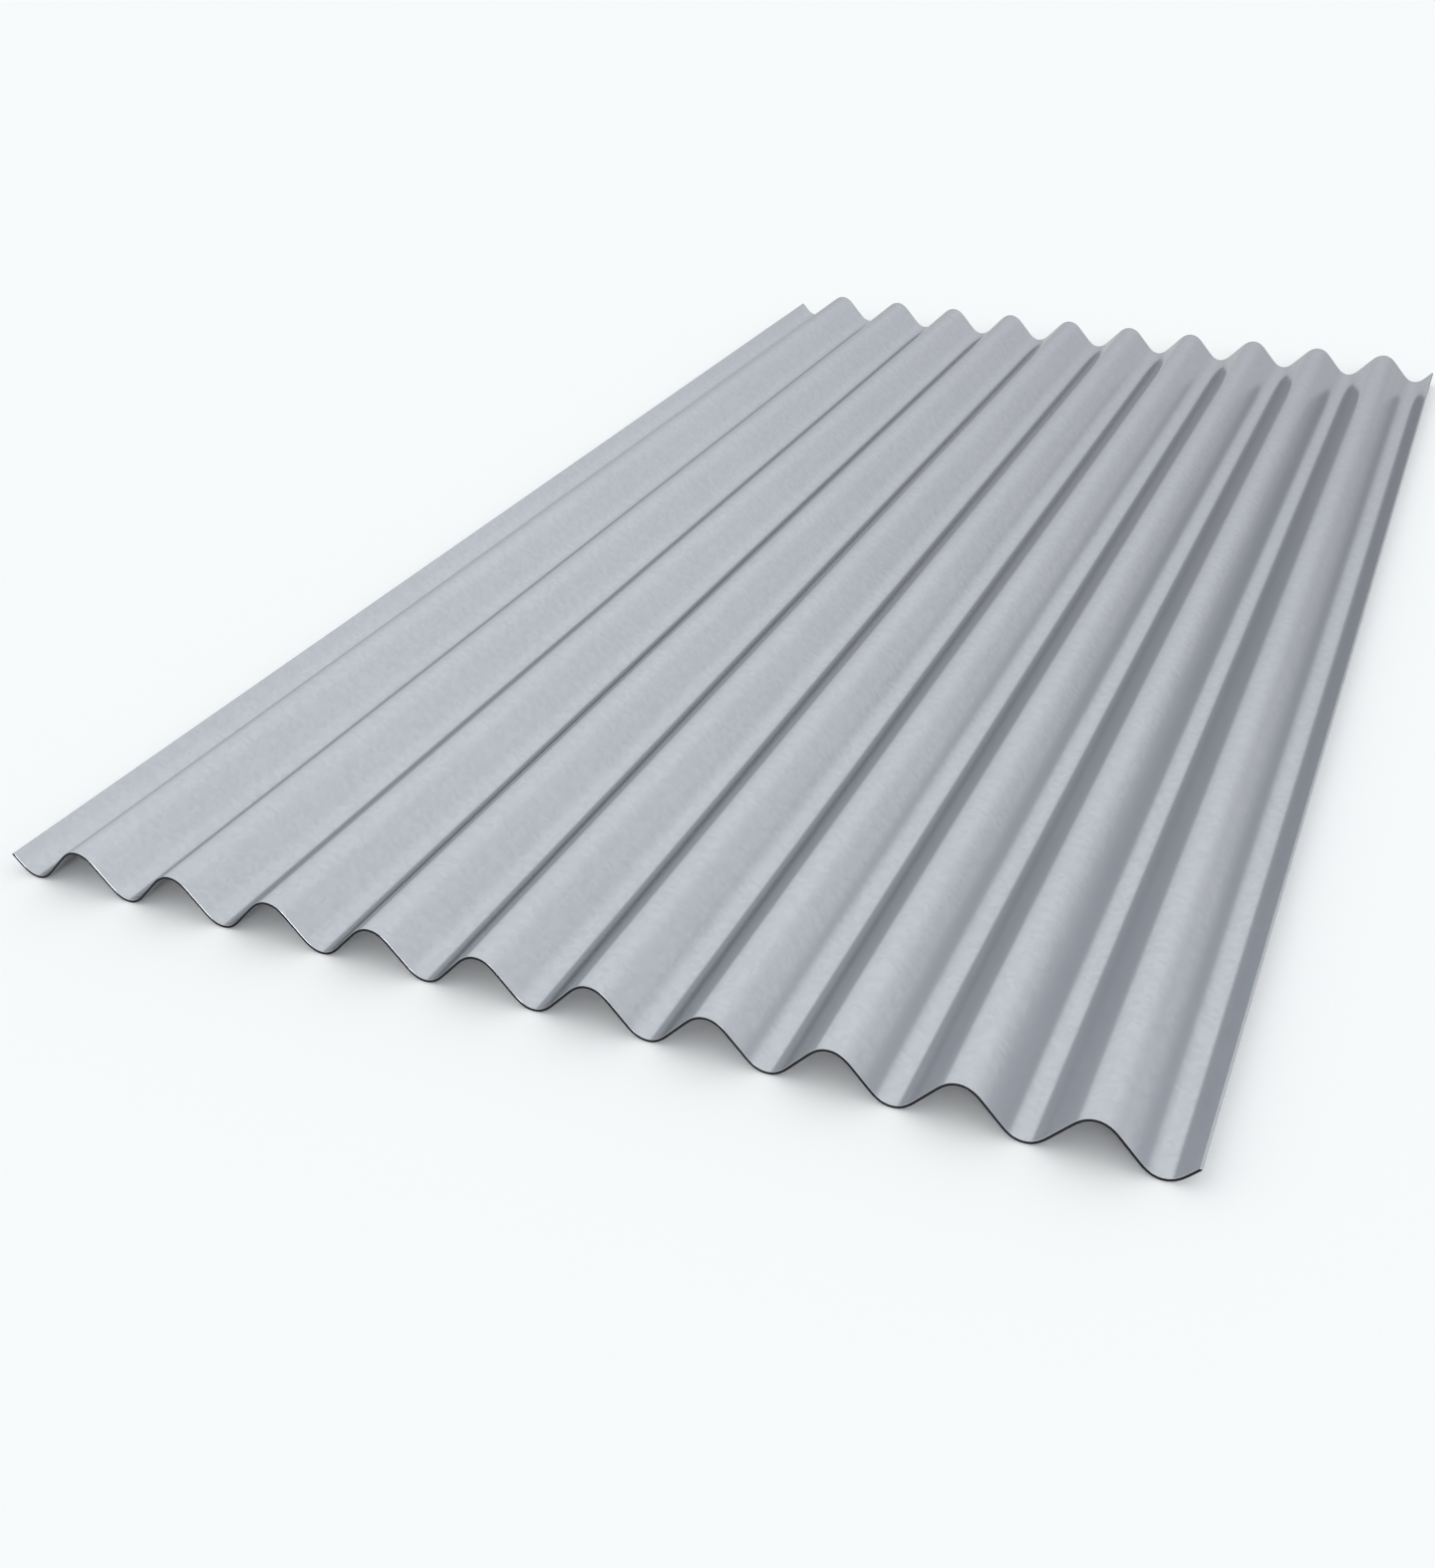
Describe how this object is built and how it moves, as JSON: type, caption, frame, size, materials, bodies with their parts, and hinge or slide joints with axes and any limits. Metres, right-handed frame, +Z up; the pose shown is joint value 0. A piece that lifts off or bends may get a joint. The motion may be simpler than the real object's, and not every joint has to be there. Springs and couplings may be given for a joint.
{
  "type": "corrugated metal sheet",
  "caption": "Sheet of corrugated metal lying flat: even rounded waves run its whole length and both long edges turn up half-way up a flank; plain matte grey finish.",
  "frame": {"origin": "on the floor plane that the troughs touch, under the middle of the sheet", "axes": "+X across the waves, +Y along the waves (the sheet's length), +Z up"},
  "size_m": [0.8016, 1.5, 0.0298],
  "materials": {
    "galvanised_steel": "matte"
  },
  "bodies": {
    "root": {"corrugated_sheet": "galvanised_steel"}
  },
  "joints": []
}
